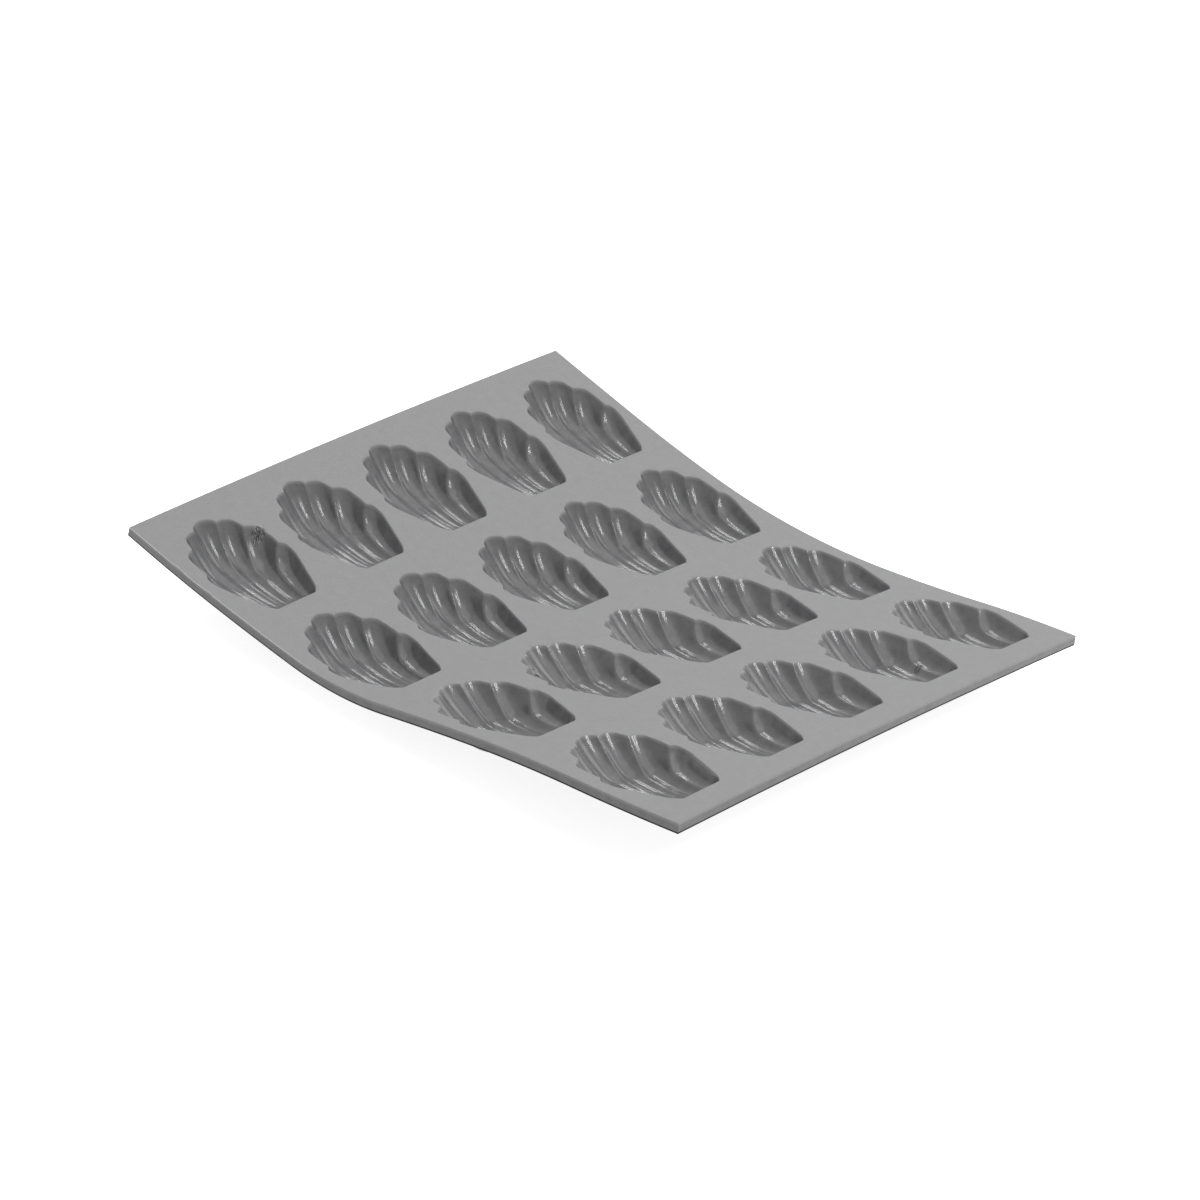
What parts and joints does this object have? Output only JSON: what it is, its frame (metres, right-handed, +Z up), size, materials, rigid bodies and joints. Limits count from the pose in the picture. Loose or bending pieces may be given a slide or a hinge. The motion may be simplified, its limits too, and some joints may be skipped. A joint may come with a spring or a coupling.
{
  "type": "flexible madeleine mould",
  "caption": "Flexible moulded baking tray of shell-shaped cups in rows, lying slightly bent, with folding webs between its rows.",
  "frame": {"origin": "under the middle of the mould, on the surface that its lowest cups stand on", "axes": "+X along the rows' pitch, from the raised back edge to the front; +Y across, from the near long edge to the far one; +Z up, out of the cups' mouths"},
  "size_m": [0.202, 0.176, 0.0282],
  "materials": {
    "silicone_foam": "matte sheet, satin cups"
  },
  "bodies": {
    "row_1": {"row_1_panel": "silicone_foam", "cup_1_1": "silicone_foam", "cup_1_2": "silicone_foam", "cup_1_3": "silicone_foam", "cup_1_4": "silicone_foam", "cup_1_5": "silicone_foam"},
    "row_2": {"row_2_panel": "silicone_foam", "cup_2_1": "silicone_foam", "cup_2_2": "silicone_foam", "cup_2_3": "silicone_foam", "cup_2_4": "silicone_foam", "cup_2_5": "silicone_foam", "web_1_2": "silicone_foam", "web_2_3": "silicone_foam"},
    "row_3": {"row_3_panel": "silicone_foam", "cup_3_1": "silicone_foam", "cup_3_2": "silicone_foam", "cup_3_3": "silicone_foam", "cup_3_4": "silicone_foam", "cup_3_5": "silicone_foam", "web_3_4": "silicone_foam"},
    "row_4": {"row_4_panel": "silicone_foam", "cup_4_1": "silicone_foam", "cup_4_2": "silicone_foam", "cup_4_3": "silicone_foam", "cup_4_4": "silicone_foam", "cup_4_5": "silicone_foam"}
  },
  "joints": [
    {"name": "back_fold", "type": "hinge", "parent": "row_2", "child": "row_1", "pos_m": [-0.04874, 0, 0.01303], "axis": [-0.0046, 0.9999, 0.0147], "range_deg": [-50, 60], "stiffness_Nm_per_rad": 1, "deforming": ["web_1_2"]},
    {"name": "middle_fold", "type": "hinge", "parent": "row_2", "child": "row_3", "pos_m": [-0.00016, 0, 0.00957], "axis": [0.0073, -0.9998, 0.0209], "range_deg": [-50, 60], "stiffness_Nm_per_rad": 1, "deforming": ["web_2_3"]},
    {"name": "front_fold", "type": "hinge", "parent": "row_3", "child": "row_4", "pos_m": [0.04807, 0, 0.0151], "axis": [0.0018, -0.9986, 0.0535], "range_deg": [-50, 60], "stiffness_Nm_per_rad": 1, "deforming": ["web_3_4"]}
  ]
}
